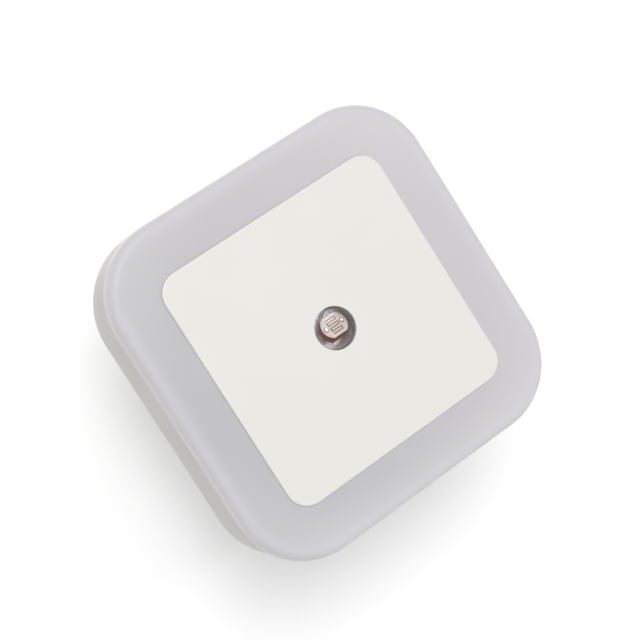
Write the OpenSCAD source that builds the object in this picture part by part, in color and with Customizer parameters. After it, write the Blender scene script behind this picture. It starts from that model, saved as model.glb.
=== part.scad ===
// Plug-in night light: a rounded square head with a glowing ring, a face plate and a
// light sensor, carried by a two-pin plug.
//
// Every module draws in the front view: x to the right, y up, and z out of the wall
// towards the room. z = 0 is the face of the plug that seats on the socket.
// on_wall() turns that view so that the room lies towards -Y and up is +Z.

/* [Head] */
// Width and height of the head
head_w = 64.6; // [63:0.2:76]
// Corner radius of the head, seen from the front
head_corner_r = 13.4; // [11:0.2:18]
// Depth of the head, from its back face to the ring face
head_depth = 16; // [15:0.5:24]
// Rounding of the diffuser's front edge
front_edge_r = 2; // [1:0.1:3]
// Rounding of the housing's back edge
back_edge_r = 1.6; // [0.6:0.1:2.4]
// Wall thickness of the diffuser and the housing
wall = 1.8; // [1.4:0.1:2.2]
// Depth of the diffuser's rim, from the ring face back to the seam
rim_depth = 2.8; // [2.6:0.1:6]
// Step from the rim's outside in to the housing's outside
housing_step = 0.1; // [0:0.05:0.3]
// How much rounder the housing's corners are than the rim's, so that the rim overhangs them
corner_ease = 0.8; // [0:0.1:1.5]
// Thickness of the ribs on the housing's floor
rib_t = 1.2; // [0.8:0.1:1.6]
// Distance of the two upright ribs from the plug
rib_gap = 4; // [3.8:0.1:5]
// Height of the ribs
rib_h = 2; // [1:0.1:2.4]

/* [Seam] */
// Height of the shadow groove behind the diffuser's rim
groove_h = 0.4; // [0.2:0.1:0.8]
// Depth of the shadow groove
groove_d = 0.5; // [0.2:0.1:0.8]
// Thickness of the housing's tongue that the rim slips over
tongue_t = 1; // [0.8:0.1:1.4]
// Gap between the tongue's end and the inside of the ring
tongue_room = 0.2; // [0.1:0.05:0.3]
// Gap between the tongue and the rim
tongue_gap = 0.1; // [0.05:0.05:0.2]

/* [Face plate] */
// Width and height of the face plate
plate_w = 46; // [44:0.5:48]
// Corner radius of the face plate
plate_corner_r = 4.2; // [3:0.2:8]
// Thickness of the face plate
plate_t = 1.6; // [1.4:0.1:2.2]
// Height of the face plate's front above the ring face
plate_proud = 0.35; // [0.1:0.05:0.6]
// Rounding of the face plate's front edge
plate_edge_r = 0.3; // [0.1:0.05:0.5]
// Gap between the face plate and its pocket, all round
plate_gap = 0.05; // [0.05:0.05:0.3]
// Width of a snap leg
leg_w = 5; // [3:0.5:6]
// Thickness of a snap leg
leg_t = 1; // [0.8:0.1:1.2]
// Reach of a snap leg's hook
hook_reach = 0.5; // [0.3:0.1:0.6]
// Distance of the snap legs from the middle of the plate
leg_reach = 19; // [17:0.5:20]

/* [Light sensor] */
// Diameter of the sensor window
window_d = 7.6; // [7:0.1:9]
// Depth of the window's front below the plate's front
window_recess = 0.3; // [0.1:0.05:0.4]
// Gap between the window and its hole in the plate, all round
window_gap = 0.1; // [0.05:0.05:0.2]
// Diameter of the window's flange behind the plate
flange_d = 9.4; // [9.2:0.1:11]
// Thickness of the window's flange
flange_t = 0.6; // [0.4:0.1:0.8]
// Wall thickness of the tube that shades the sensor
tube_wall = 0.8; // [0.6:0.1:1]
// Thickness of the tube's foot, which the photocell's leads go through
tube_foot = 2; // [0.6:0.1:2.4]
// Width of the photocell, along its leads
cell_w = 5.1; // [4.8:0.1:5.4]
// Height of the photocell across its two flats
cell_h = 4.3; // [4:0.1:4.6]
// Thickness of the photocell
cell_t = 2; // [1.6:0.1:2.4]
// Gap between the photocell and the window
cell_gap = 0.3; // [0.2:0.1:0.6]
// Upward tilt of the hand-fitted photocell
cell_tilt = 20; // [0:1:25]
// Sideways place of the hand-fitted photocell
cell_x = 0.9; // [-0.9:0.1:0.9]
// Height of the hand-fitted photocell
cell_y = 0.3; // [-0.3:0.05:0.3]
// Distance between the photocell's leads
cell_lead_pitch = 3.4; // [3:0.1:3.6]
// Diameter of the photocell's leads
cell_lead_d = 0.5; // [0.4:0.05:0.6]

/* [Plug] */
// Width of the plug
plug_w = 35.3; // [34:0.1:37]
// Height of the plug
plug_h = 13.7; // [13:0.1:15]
// Width of the plug's flat top and bottom
plug_flat_w = 26.1; // [25:0.1:28]
// Height of the plug's upright ends
plug_end_h = 5; // [4:0.1:6]
// Radius of the plug's long edges
plug_corner_r = 2; // [1:0.1:2.4]
// Depth of the plug, from the seating face to the head's back face
plug_depth = 18; // [17:0.5:24]
// Rounding of the seating face's edge
plug_edge_r = 1; // [0.4:0.1:1.6]
// Thickness of the seating wall that holds the pins
seat_t = 2.4; // [2:0.1:3]
// Distance between the pins
pin_pitch = 19; // [18:0.1:19.2]
// Diameter of a pin's bare end
pin_d = 4; // [3.9:0.05:4.1]
// Length of a pin outside the seating face
pin_len = 19; // [18.5:0.1:19.5]
// Rounding of a pin's tip
pin_tip_r = 1.2; // [0.6:0.1:1.8]
// Diameter of a pin's head inside the plug
pin_head_d = 5.4; // [5:0.1:6]
// Thickness of a pin's head
pin_head_t = 1.6; // [1.2:0.1:2.4]
// Width of the strip that joins a pin to the board
strip_w = 3; // [2:0.1:4]
// Thickness of the strip
strip_t = 0.5; // [0.3:0.1:0.8]
// Length of the insulating sleeve outside the seating face
sleeve_len = 10; // [9:0.1:11]
// Outer diameter of the insulating sleeve
sleeve_d = 3.6; // [3.4:0.05:3.65]
// Diameter of the pin inside its sleeve
neck_d = 2.9; // [2.6:0.05:3.1]

/* [Circuit board] */
// Gap between the board's edge and the housing's wall
board_gap = 2.9; // [1.5:0.1:4]
// Thickness of the board
board_t = 1.2; // [1:0.1:1.6]
// Height of the posts that carry the board above the housing's floor
post_h = 4.2; // [4:0.1:5]
// Outer diameter of the screw posts
post_d = 6.4; // [6:0.1:7]
// Diameter of the case screws
screw_d = 2.6; // [2.3:0.1:2.8]
// Length of the case screws under the head
screw_len = 8; // [7:0.5:9]
// Diameter of the case screws' heads
screw_head_d = 4.6; // [4.2:0.1:4.8]
// Height of the case screws' heads
screw_head_h = 1.6; // [1.4:0.1:2]

/* [Board parts] */
// Diameter of the smoothing capacitor
smoothing_d = 5; // [4:0.1:5]
// Length of the smoothing capacitor
smoothing_len = 11; // [9:0.5:11]
// Width of the dropper capacitor
dropper_w = 13; // [11:0.5:13]
// Thickness of the dropper capacitor
dropper_t = 6; // [4:0.5:7]
// Depth of the dropper capacitor behind the board
dropper_h = 11; // [9:0.5:12]
// Gap between the dropper capacitor and the board
dropper_gap = 1.2; // [1:0.1:1.6]
// Distance between the dropper capacitor's leads
dropper_pitch = 10; // [7.5:0.5:10]
// Diameter of a diode
diode_d = 2.7; // [2:0.1:2.7]
// Length of a diode
diode_len = 5.2; // [4:0.1:5.2]
// Diameter of a resistor
resistor_d = 2.3; // [1.8:0.1:2.4]
// Length of a resistor
resistor_len = 6.3; // [5:0.1:6.5]
// Diameter of the fusible resistor
fuse_d = 3.2; // [2.4:0.1:3.6]
// Length of the fusible resistor
fuse_len = 9; // [8:0.5:10]
// Diameter of the board parts' leads
lead_d = 0.6; // [0.5:0.05:0.8]
// Side of a light-emitting diode's package
led_w = 3.5; // [2.8:0.1:3.5]
// Thickness of a light-emitting diode's package
led_t = 0.8; // [0.6:0.1:1]

/* [Hidden] */
$fn = 96;
eps = 0.01;

// Small sizes of the bought parts
film_t = 0.08; // metal film on the photocell
cell_back = 1; // straight run of the photocell's leads behind it
lead_tail = 1; // reach of a lead through the board
lead_out = 1.2; // run of a lead from its part to the bend
transistor_r = 2.3;
transistor_h = 4.6;
transistor_stand = 0.6;
transistor_pitch = 1.27;

// Heights in the front view
back_z = plug_depth;
ring_z = back_z + head_depth;
seam_z = ring_z - rim_depth;
plate_top = ring_z + plate_proud;
plate_z = plate_top - plate_t;
panel_z = plate_z - wall;
floor_z = back_z + wall;
board_z = floor_z + post_h;
board_top = board_z + board_t;
window_top = plate_top - window_recess;
cell_top = plate_z - cell_gap - sin(cell_tilt) * cell_h / 2;
board_r = head_corner_r - wall - board_gap;
board_w = head_w - 2 * (wall + board_gap);

// Centres of the rounded corners, anticlockwise from the lower left
function square_centres(reach) = [[-reach, -reach], [reach, -reach], [reach, reach], [-reach, reach]];
head_centres = square_centres(head_w / 2 - head_corner_r);
housing_centres = square_centres(head_w / 2 - head_corner_r - corner_ease);
plate_centres = square_centres(plate_w / 2 - plate_corner_r);
plug_centres = let (
    x = plug_w / 2 - plug_corner_r, flat_x = plug_flat_w / 2 - plug_corner_r / 2,
    y = plug_h / 2 - plug_corner_r, end_y = plug_end_h / 2 - plug_corner_r / 2)
    [[-flat_x, -y], [flat_x, -y], [x, -end_y], [x, end_y],
     [flat_x, y], [-flat_x, y], [-x, end_y], [-x, -end_y]];

// Places on the board, in the front view
screw_places = [[-17, 15], [17, -15]];
rest_places = [[17, 15], [-17, -15]];
led_reach = board_w / 2 - led_w;
led_places = [[led_reach, 0], [0, led_reach], [-led_reach, 0], [0, -led_reach]];
smoothing_place = [-2, 12.5];
dropper_place = [0, 0];
diode_places = [[8.6, 9], [12.6, 9], [-8.6, -9.5], [-12.6, -9.5]];
resistor_places = [[0, -9], [0, -13.2]];
fuse_place = [11, -8.4];
transistor_place = [-11.5, 5];

// ---------- Shapes that repeat ----------

function outward(a, b) = let (d = b - a) [d[1], -d[0]] / norm(d);

// Flat outline round a ring of corner centres, with true arcs at the corners
module outline(centres, r) {
    count = len(centres);
    polygon([for (i = [0:count - 1])
        let (a = centres[i], b = centres[(i + 1) % count], n = outward(a, b))
        each [a + r * n, b + r * n]]);
    for (c = centres) translate(c) circle(r);
}

module slab(centres, r, z, h) {
    translate([0, 0, z]) linear_extrude(h) outline(centres, r);
}

module ring(centres, outer_r, inner_r, z, h) {
    translate([0, 0, z]) linear_extrude(h) difference() {
        outline(centres, outer_r);
        outline(centres, inner_r);
    }
}

// Half section of a slab with a rounded top or bottom edge
module edge_profile(r, h, top_r, bottom_r) {
    difference() {
        square([r, h]);
        if (top_r > 0) translate([r - top_r, h - top_r]) difference() {
            square(top_r + eps);
            circle(top_r);
        }
        if (bottom_r > 0) translate([r - bottom_r, bottom_r]) difference() {
            translate([0, -bottom_r - eps]) square(bottom_r + eps);
            circle(bottom_r);
        }
    }
}

// Slab whose top and bottom edges are rounded all round. Its core reaches into the edges, so
// that no seam is left between them.
module pebble(centres, r, z, h, top_r = 0, bottom_r = 0) {
    count = len(centres);
    translate([0, 0, z]) {
        linear_extrude(h) outline(centres, r / 2);
        for (i = [0:count - 1]) {
            a = centres[i];
            b = centres[(i + 1) % count];
            run = atan2(b[1] - a[1], b[0] - a[0]);
            translate(a) {
                rotate([0, 0, run - 180]) rotate_extrude(angle = 90)
                    edge_profile(r, h, top_r, bottom_r);
                rotate([0, 0, run]) rotate([90, 0, 90]) linear_extrude(norm(b - a))
                    mirror([1, 0]) edge_profile(r, h, top_r, bottom_r);
            }
        }
    }
}

module rod(place, z, h, d) {
    translate([place[0], place[1], z]) cylinder(h = h, d = d);
}

// Puts a snap leg, or its slot, on each side of the plate
module at_legs() {
    for (turn = [0:90:270]) rotate([0, 0, turn]) translate([leg_reach, 0, 0]) children();
}

module on_wall() {
    rotate([90, 0, 0]) children();
}

// ---------- Head ----------

module front_plate() {
    hook_z = panel_z - hook_reach * 2 - 0.1;
    color("white") difference() {
        union() {
            pebble(plate_centres, plate_corner_r, plate_z, plate_t, top_r = plate_edge_r);
            at_legs() {
                translate([-leg_t / 2, -leg_w / 2, hook_z]) cube([leg_t, leg_w, plate_z - hook_z]);
                translate([0, leg_w / 2, hook_z]) rotate([90, 0, 0]) linear_extrude(leg_w)
                    polygon([[0, 0], [leg_t / 2, 0], [leg_t / 2 + hook_reach, hook_reach * 2],
                        [0, hook_reach * 2]]);
            }
        }
        rod([0, 0], plate_z - eps, plate_t + 2 * eps, window_d);
        rod([0, 0], plate_z - eps, flange_t + eps, flange_d);
    }
}

module diffuser() {
    pocket_r = plate_corner_r + plate_gap;
    slot_gap = 0.3;
    tube_gap = 0.2;
    color("lavender") difference() {
        union() {
            difference() {
                pebble(head_centres, head_corner_r, seam_z, rim_depth, top_r = front_edge_r);
                slab(head_centres, head_corner_r - wall, seam_z - eps, rim_depth - wall + eps);
            }
            slab(plate_centres, pocket_r + wall, panel_z, ring_z - panel_z - eps);
            for (place = screw_places) rod(place, board_top, panel_z - board_top + eps, post_d);
            for (place = rest_places) rod(place, board_top, panel_z - board_top + eps, post_d / 2);
        }
        slab(plate_centres, pocket_r, plate_z, plate_t);
        rod([0, 0], panel_z - eps, wall + 2 * eps, tube_d() + 2 * tube_gap);
        at_legs() translate([-leg_t / 2 - slot_gap, -leg_w / 2 - slot_gap, panel_z - eps])
            cube([leg_t + hook_reach + 2 * slot_gap, leg_w + 2 * slot_gap, wall + 2 * eps]);
        for (place = screw_places)
            rod(place, board_top - eps, screw_tip() - board_top + eps + 0.3, screw_d);
    }
}

// Block of the plug, rounded towards the seating face
module plug_block(h) {
    intersection() {
        slab(plug_centres, plug_corner_r, 0, h);
        rotate([90, 0, 0]) rounded_foot(plug_w, h, plug_h);
        rotate([90, 0, 90]) rounded_foot(plug_h, h, plug_w);
    }
}

// Upright section with a rounded foot, drawn out to a length
module rounded_foot(w, h, len) {
    reach = w / 2 - plug_edge_r;
    translate([0, 0, -len / 2]) linear_extrude(len)
        outline([[-reach, plug_edge_r], [reach, plug_edge_r], [reach, h], [-reach, h]], plug_edge_r);
}

// Ribs from wall to wall: one on each side of the plug, and one through each row of posts
module floor_ribs() {
    len = head_w - 2 * (housing_step + wall) + 2 * eps;
    for (side = [-1, 1]) {
        translate([side * (plug_w / 2 + rib_gap) - rib_t / 2, -len / 2, floor_z - eps])
            cube([rib_t, len, rib_h + eps]);
        translate([-len / 2, side * screw_places[0][1] - rib_t / 2, floor_z - eps])
            cube([len, rib_t, rib_h + eps]);
    }
}

module back_housing() {
    hole_gap = 0.2;
    shell_h = seam_z - groove_h - back_z;
    outer_r = head_corner_r + corner_ease - housing_step;
    inner_r = outer_r - wall;
    tongue_r = head_corner_r - wall - tongue_gap;
    tongue_h = rim_depth - wall - tongue_room;
    tongue_root = 3;
    color("floralwhite") difference() {
        union() {
            difference() {
                union() {
                    pebble(housing_centres, outer_r, back_z, shell_h, bottom_r = back_edge_r);
                    slab(housing_centres, outer_r - groove_d, back_z + shell_h - eps,
                        groove_h + eps);
                }
                slab(housing_centres, inner_r, floor_z, head_depth);
            }
            ring(head_centres, tongue_r + housing_step, tongue_r - tongue_t, seam_z - tongue_root,
                tongue_root);
            ring(head_centres, tongue_r, tongue_r - tongue_t, seam_z - eps, tongue_h + eps);
            plug_block(plug_depth + wall / 2);
            for (place = screw_places) rod(place, floor_z - eps, post_h + eps, post_d);
            for (place = rest_places) rod(place, floor_z - eps, post_h + eps, post_d / 2);
            floor_ribs();
        }
        slab(plug_centres, plug_corner_r - wall / 2, seat_t, plug_depth + wall + rib_h);
        for (side = [-1, 1]) rod([side * pin_pitch / 2, 0], -eps, seat_t + 2 * eps, sleeve_d);
        for (place = screw_places) {
            rod(place, back_z - eps, screw_seat() - back_z + eps, screw_head_d + 2 * hole_gap);
            rod(place, back_z, board_z - back_z + eps, screw_d + 2 * hole_gap);
        }
    }
}

// The screw heads sit on a ledge inside the posts
function screw_seat() = floor_z + screw_head_h;
function screw_tip() = screw_seat() + screw_len;

module case_screws() {
    drive_w = 0.7;
    drive_h = screw_head_h * 0.6;
    color("silver") for (place = screw_places) difference() {
        union() {
            rod(place, screw_seat(), screw_len, screw_d);
            rod(place, screw_seat() - screw_head_h, screw_head_h, screw_head_d);
        }
        for (turn = [0, 90])
            translate([place[0], place[1], screw_seat() - screw_head_h - eps]) rotate([0, 0, turn])
                translate([-screw_head_d * 0.3, -drive_w / 2, 0])
                    cube([screw_head_d * 0.6, drive_w, drive_h]);
    }
}

// ---------- Light sensor ----------

function tube_d() = window_d + 2 * tube_wall;

module sensor_window() {
    color("gainsboro") {
        rod([0, 0], plate_z + flange_t - eps, window_top - plate_z - flange_t + eps,
            window_d - 2 * window_gap);
        rod([0, 0], plate_z, flange_t, flange_d);
    }
}

module sensor_tube() {
    color("darkgray") difference() {
        rod([0, 0], board_top, plate_z - board_top, tube_d());
        rod([0, 0], board_top + tube_foot, plate_z - board_top, window_d);
        for (side = [-1, 1]) rod(cell_foot(side), board_top - eps, tube_foot + 2 * eps, cell_lead_d);
    }
}

// Draws in the photocell's own frame, where z = 0 is its front
module at_cell() {
    translate([cell_x, cell_y, cell_top]) rotate([-cell_tilt, 0, 0]) children();
}

// Where a photocell lead turns from the cell's own axis towards the board
function cell_foot(side) = [cell_x + side * cell_lead_pitch / 2,
    cell_y - sin(cell_tilt) * (cell_t + cell_back)];

module cell_shape(inset, z, h, hole_d) {
    w = cell_w - 2 * inset;
    flat_h = cell_h - 2 * inset;
    difference() {
        translate([0, 0, z]) intersection() {
            cylinder(h = h, d = w);
            translate([-w / 2, -flat_h / 2, 0]) cube([w, flat_h, h]);
        }
        for (side = [-1, 1])
            rod([side * cell_lead_pitch / 2, 0], z - eps, h + 2 * eps, hole_d);
    }
}

module photocell() {
    color("firebrick") at_cell() cell_shape(0, -cell_t, cell_t, cell_lead_d);
}

// Metal film that covers the photocell's front, and stops short of the leads
module photocell_face() {
    film_inset = 0.15;
    lead_room = 0.2;
    color("mistyrose") at_cell() cell_shape(film_inset, 0, film_t, cell_lead_d + 2 * lead_room);
}

// Serpentine of sensing material that parts the film in two
module photocell_track() {
    line_w = 0.22;
    line_t = 0.05;
    rows = 6;
    run = cell_lead_pitch - 1.3;
    step = (cell_h - 1.6) / (rows - 1);
    color("saddlebrown") at_cell() translate([0, 0, film_t]) for (i = [0:rows - 1]) {
        y = (i - (rows - 1) / 2) * step;
        side = i % 2 == 0 ? 1 : -1;
        translate([-run / 2, y - line_w / 2, 0]) cube([run, line_w, line_t]);
        if (i < rows - 1) translate([side * (run - line_w) / 2 - line_w / 2, y, 0])
            cube([line_w, step, line_t]);
    }
}

module photocell_leads() {
    dot_t = 0.15;
    dot_d = cell_lead_d + 0.1;
    elbow_z = cell_top - cos(cell_tilt) * (cell_t + cell_back);
    elbow_d = cell_lead_d + 0.1;
    color("silver") for (side = [-1, 1]) {
        at_cell() {
            rod([side * cell_lead_pitch / 2, 0], -cell_t - cell_back, cell_t + cell_back + film_t,
                cell_lead_d);
            rod([side * cell_lead_pitch / 2, 0], film_t, dot_t, dot_d);
        }
        translate([cell_foot(side)[0], cell_foot(side)[1], elbow_z]) sphere(d = elbow_d);
        rod(cell_foot(side), board_z - lead_tail, elbow_z - board_z + lead_tail, cell_lead_d);
    }
}

// ---------- Circuit board and what it carries ----------

module circuit_board() {
    hole_gap = 0.2;
    color("seagreen") difference() {
        slab(head_centres, board_r, board_z, board_t);
        for (place = screw_places)
            rod(place, board_z - eps, board_t + 2 * eps, screw_d + 2 * hole_gap);
        for (side = [-1, 1]) rod(cell_foot(side), board_z - eps, board_t + 2 * eps, cell_lead_d);
        for (place = lead_places()) rod(place, board_z - eps, board_t + 2 * eps, lead_d);
        for (side = [-1, 1]) translate([strip_corner(side)[0], strip_corner(side)[1], board_z - eps])
            cube([strip_w, strip_t, board_t + 2 * eps]);
    }
}

module led_packages() {
    cup_w = led_w - 0.8;
    color("ivory") for (place = led_places)
        translate([place[0] - led_w / 2, place[1] - led_w / 2, board_top]) difference() {
            cube([led_w, led_w, led_t]);
            translate([(led_w - cup_w) / 2, (led_w - cup_w) / 2, led_t / 2]) cube([cup_w, cup_w, led_t]);
        }
}

module led_phosphors() {
    cup_w = led_w - 0.8;
    color("gold") for (place = led_places)
        translate([place[0] - cup_w / 2, place[1] - cup_w / 2, board_top + led_t / 2])
            cube([cup_w, cup_w, led_t / 2]);
}

// A round part that lies on the board along y, with a lead at each end
module lying(place, d, len) {
    translate([place[0], place[1] + len / 2, board_top + d / 2]) rotate([90, 0, 0])
        cylinder(h = len, d = d);
}

module smoothing_capacitor() {
    color("black") translate([smoothing_place[0] - smoothing_len / 2, smoothing_place[1],
        board_top + smoothing_d / 2]) rotate([0, 90, 0]) cylinder(h = smoothing_len, d = smoothing_d);
}

module dropper_capacitor() {
    color("goldenrod") translate([dropper_place[0] - dropper_w / 2, dropper_place[1] - dropper_t / 2,
        board_z - dropper_gap - dropper_h]) cube([dropper_w, dropper_t, dropper_h]);
}

module diodes() {
    color("dimgray") for (place = diode_places) lying(place, diode_d, diode_len);
}

module resistors() {
    color("steelblue") for (place = resistor_places) rotate([0, 0, 90])
        lying([place[1], -place[0]], resistor_d, resistor_len);
}

module fuse_resistor() {
    color("darkseagreen") lying(fuse_place, fuse_d, fuse_len);
}

module transistor() {
    color("black") translate([transistor_place[0], transistor_place[1], board_top + transistor_stand])
        intersection() {
            cylinder(h = transistor_h, r = transistor_r);
            translate([-transistor_r, -transistor_r / 2, 0])
                cube([2 * transistor_r, 2 * transistor_r, transistor_h]);
        }
}

// Each lead goes down from its part and through the board
function ends_y(place, len) = [for (side = [-1, 1]) [place[0], place[1] + side * (len / 2 + lead_out)]];
function ends_x(place, len) = [for (side = [-1, 1]) [place[0] + side * (len / 2 + lead_out), place[1]]];
function transistor_leads() = [for (i = [-1:1])
    [transistor_place[0] + i * transistor_pitch, transistor_place[1]]];
function smoothing_leads() = [for (side = [-1, 1])
    [smoothing_place[0] - smoothing_len / 2 - lead_out, smoothing_place[1] + side]];
function dropper_leads() = [for (side = [-1, 1])
    [dropper_place[0] + side * dropper_pitch / 2, dropper_place[1]]];
function lead_places() = concat(
    [for (place = diode_places) each ends_y(place, diode_len)],
    [for (place = resistor_places) each ends_x(place, resistor_len)],
    ends_y(fuse_place, fuse_len), transistor_leads(), smoothing_leads(), dropper_leads());

// A lead that leaves a lying part at height h, bends at a sharp elbow and goes through the board
module bent_lead(from, to, h) {
    rod(to, board_z - lead_tail, board_t + lead_tail + h, lead_d);
    translate([from[0], from[1], board_top + h])
        rotate([0, 0, atan2(to[1] - from[1], to[0] - from[0])]) rotate([0, 90, 0])
            cylinder(h = norm(to - from), d = lead_d);
    translate([to[0], to[1], board_top + h]) sphere(d = lead_d);
}

module component_leads() {
    color("silver") {
        for (place = diode_places, side = [-1, 1])
            bent_lead([place[0], place[1] + side * diode_len / 2],
                [place[0], place[1] + side * (diode_len / 2 + lead_out)], diode_d / 2);
        for (place = resistor_places, side = [-1, 1])
            bent_lead([place[0] + side * resistor_len / 2, place[1]],
                [place[0] + side * (resistor_len / 2 + lead_out), place[1]], resistor_d / 2);
        for (side = [-1, 1])
            bent_lead([fuse_place[0], fuse_place[1] + side * fuse_len / 2],
                [fuse_place[0], fuse_place[1] + side * (fuse_len / 2 + lead_out)], fuse_d / 2);
        for (place = smoothing_leads()) bent_lead([place[0] + lead_out, place[1]], place, smoothing_d / 2);
        for (place = transistor_leads())
            rod(place, board_z - lead_tail, board_t + lead_tail + transistor_stand, lead_d);
        for (place = dropper_leads())
            rod(place, board_z - dropper_gap, board_t + dropper_gap + lead_tail, lead_d);
    }
}

// ---------- Plug ----------

function strip_corner(side) = [side * pin_pitch / 2 - strip_w / 2, -strip_t / 2, seat_t + pin_head_t];

// A strip of sheet brass from each pin's head up through the board
module contact_strips() {
    color("gold") for (side = [-1, 1]) translate(strip_corner(side))
        cube([strip_w, strip_t, board_top + lead_tail - seat_t - pin_head_t]);
}

module pin(side) {
    color("lightgray") translate([side * pin_pitch / 2, 0, 0]) {
        translate([0, 0, seat_t]) cylinder(h = pin_head_t, d = pin_head_d);
        translate([0, 0, -sleeve_len - eps]) cylinder(h = sleeve_len + seat_t + 2 * eps, d = neck_d);
        translate([0, 0, -pin_len]) rotate_extrude()
            edge_profile(pin_d / 2, pin_len - sleeve_len, 0, pin_tip_r);
    }
}

module left_pin() { pin(-1); }
module right_pin() { pin(1); }

module sleeve(side) {
    color("darkslategray") translate([side * pin_pitch / 2, 0, -sleeve_len]) difference() {
        cylinder(h = sleeve_len + seat_t, d = sleeve_d);
        translate([0, 0, -eps]) cylinder(h = sleeve_len + seat_t + 2 * eps, d = neck_d);
    }
}

module left_sleeve() { sleeve(-1); }
module right_sleeve() { sleeve(1); }

// ---------- Drawing ----------

on_wall() front_plate();
on_wall() diffuser();
on_wall() back_housing();
on_wall() sensor_window();
on_wall() sensor_tube();
on_wall() photocell();
on_wall() photocell_face();
on_wall() photocell_track();
on_wall() photocell_leads();
on_wall() circuit_board();
on_wall() led_packages();
on_wall() led_phosphors();
on_wall() smoothing_capacitor();
on_wall() dropper_capacitor();
on_wall() diodes();
on_wall() resistors();
on_wall() fuse_resistor();
on_wall() transistor();
on_wall() component_leads();
on_wall() contact_strips();
on_wall() left_pin();
on_wall() right_pin();
on_wall() left_sleeve();
on_wall() right_sleeve();
on_wall() case_screws();
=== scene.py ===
# %% [markdown]
# # A plug-in night light
#
# The real object is a rounded square head, 64.6 mm wide, that hangs on a wall by its own
# plug. A frosted diffuser glows round a white face plate, and a photocell looks out through
# a small window in the middle. Behind the head are a flat plug block and two round pins.
#
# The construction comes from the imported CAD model, which is loaded here as a fixed frame.
# The outer pieces are modelled again with finer edges, and every piece gets a finish.

# %% Load the frame
import math

import bmesh
import bpy
from mathutils import Matrix, Vector


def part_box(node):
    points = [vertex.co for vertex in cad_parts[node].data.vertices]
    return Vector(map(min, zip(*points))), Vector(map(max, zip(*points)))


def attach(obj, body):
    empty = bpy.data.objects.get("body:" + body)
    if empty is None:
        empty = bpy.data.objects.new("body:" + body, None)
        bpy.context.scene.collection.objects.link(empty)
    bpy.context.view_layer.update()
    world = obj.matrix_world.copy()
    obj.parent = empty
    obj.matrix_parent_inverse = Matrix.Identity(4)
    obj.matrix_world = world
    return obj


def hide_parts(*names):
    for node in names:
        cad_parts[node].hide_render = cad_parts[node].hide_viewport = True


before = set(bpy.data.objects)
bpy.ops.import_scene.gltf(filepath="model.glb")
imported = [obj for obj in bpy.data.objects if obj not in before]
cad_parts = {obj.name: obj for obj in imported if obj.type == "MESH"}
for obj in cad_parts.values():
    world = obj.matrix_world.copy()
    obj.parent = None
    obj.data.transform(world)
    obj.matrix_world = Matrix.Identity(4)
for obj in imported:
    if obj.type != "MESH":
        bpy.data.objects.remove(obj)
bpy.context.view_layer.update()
print(len(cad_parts), "CAD nodes")

# %% [markdown]
# ## The bench and the wall
#
# The light is easiest to model as it would lie on a bench, in millimetres: x to the right, y
# up its face, and z out of the wall towards the room, with z = 0 at the face of the plug that
# seats on the socket. `hang` turns a bench model on to the wall, where the room is towards
# -Y, and makes it metres. Each object then sits at the origin with its place in its mesh, as
# the CAD nodes do. It rides on the one body, and the CAD node that it stands for is hidden.
#
# Moulded pieces have rounded edges beside wide flat faces. Smooth shading would bend the
# flats towards the edges, so a Weighted Normal modifier gives the large faces the say.

# %% From the bench to the wall
MM = 0.001
TO_WALL = Matrix.Rotation(math.radians(90), 4, "X") @ Matrix.Scale(MM, 4)


def hang(bm, name, node):
    """Makes a bench model a piece on the wall that stands for a CAD node."""
    bmesh.ops.remove_doubles(bm, verts=bm.verts, dist=0.0005)
    bmesh.ops.recalc_face_normals(bm, faces=bm.faces)
    bmesh.ops.transform(bm, matrix=TO_WALL, verts=bm.verts)
    mesh = bpy.data.meshes.new(name)
    bm.to_mesh(mesh)
    bm.free()
    mesh.shade_smooth()
    mesh.set_sharp_from_angle(angle=math.radians(32))
    piece = bpy.data.objects.new(name, mesh)
    bpy.context.scene.collection.objects.link(piece)
    piece.modifiers.new("Flat faces stay flat", "WEIGHTED_NORMAL").keep_sharp = True
    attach(piece, "root")
    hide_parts(node)
    sizes = [[(max(c[i] for c in box) - min(c[i] for c in box)) / MM for i in range(3)]
             for box in (piece.bound_box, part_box(node))]
    print(f"{name}: {len(mesh.polygons)} faces,", "mm, CAD".join(
        f" {x:.2f} x {y:.2f} x {z:.2f} " for x, y, z in sizes))
    return piece


# %% [markdown]
# ## Outlines with rounded corners
#
# Nearly every moulded piece here is a rounded outline that was drawn upwards. An outline is
# given by the centres of its corner arcs and their radius, so that two outlines with the same
# centres are a constant wall apart. The corners are made sharp first, as one face, and then
# bevelled: a profile of 0.5 is an arc, which starts from the corner at the radius times the
# tangent of half the turn.

# %% Outlines
def square(half, radius):
    """The corner centres of a rounded square, anticlockwise from the lower left."""
    reach = half - radius
    return [(-reach, -reach), (reach, -reach), (reach, reach), (-reach, reach)]


def flat_face(bm, z):
    """The largest face that lies flat at a height."""
    level = [f for f in bm.faces if all(abs(v.co.z - z) < 1e-4 for v in f.verts)]
    return max(level, key=lambda face: face.calc_area())


def outline(bm, centres, radius, z, steps=24):
    """Draws an outline as one flat face."""
    others = set(bm.faces)
    corners = []
    for before, here, after in zip(centres[-1:] + centres, centres, centres[1:] + centres[:1]):
        a, b = (Vector((q[1] - p[1], p[0] - q[0])).normalized()
                for p, q in ((before, here), (here, after)))
        point = Vector(here) + (a + b) * radius / (1 + a.dot(b))
        corners.append((bm.verts.new((*point, z)), radius * math.tan(a.angle(b) / 2)))
    bm.faces.new([corner for corner, _ in corners])
    for corner, start in corners:
        bmesh.ops.bevel(bm, geom=[corner], offset=start, offset_type="OFFSET", segments=steps,
                        profile=0.5, affect="VERTICES", material=-1)
    return next(face for face in bm.faces if face not in others)


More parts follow.
